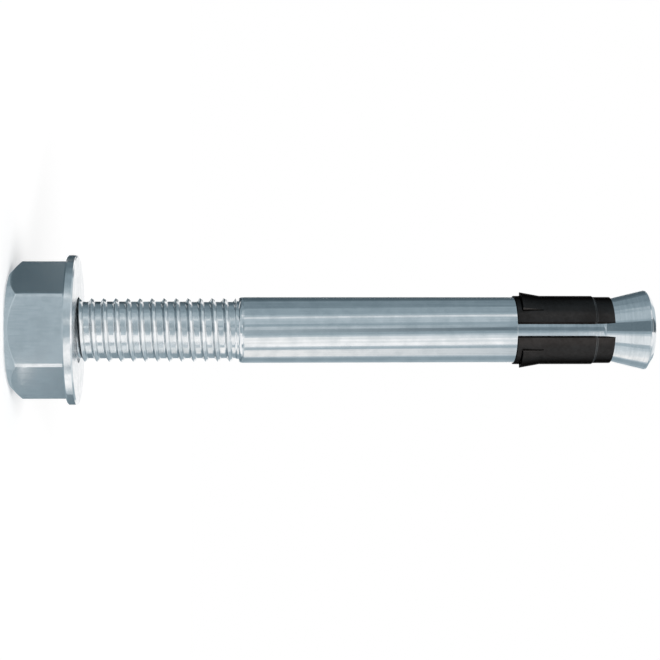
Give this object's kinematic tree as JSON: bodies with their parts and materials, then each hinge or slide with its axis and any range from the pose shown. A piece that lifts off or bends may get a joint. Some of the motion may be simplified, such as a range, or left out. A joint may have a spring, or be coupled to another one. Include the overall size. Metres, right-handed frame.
{
  "type": "nail anchor",
  "caption": "Wedge nail anchor: threaded bolt with a flared cone end, slit expansion clip with lanced tabs, washer and hexagon nut.",
  "frame": {"origin": "centre of the nut's outer end face, level with the stud's end, where the part stands on its nut", "axes": "+Z along the bolt from the nut to the cone; the clip's slit and one flat of the nut face -Y"},
  "size_m": [0.0125, 0.0124, 0.0536],
  "materials": {
    "zinc_bolt": "zinc-plated, turned and rolled",
    "zinc_nut": "zinc-plated, cold-formed",
    "zinc_washer": "zinc-plated, stamped",
    "black_clip": "satin black"
  },
  "bodies": {
    "bolt": {"anchor_bolt": "zinc_bolt"},
    "washer": {"washer": "zinc_washer"},
    "nut": {"hex_nut": "zinc_nut"},
    "clip": {"expansion_clip": "black_clip"}
  },
  "joints": [
    {"name": "washer_slide", "type": "slide", "parent": "bolt", "child": "washer", "axis": [0, 0, 1], "range_m": [-0.0046, 0.0128]},
    {"name": "nut_turn", "type": "hinge", "parent": "washer", "child": "nut", "pos_m": [0, 0, 0], "axis": [0, 0, 1], "range_deg": [-1656, 4608]},
    {"name": "clip_turn", "type": "hinge", "parent": "bolt", "child": "clip", "pos_m": [0, 0, 0.046], "axis": [0, 0, 1], "continuous": true}
  ],
  "couplings": [
    {"joint": "nut_turn", "follows": "washer_slide", "rad_per_m": 6283.2}
  ]
}
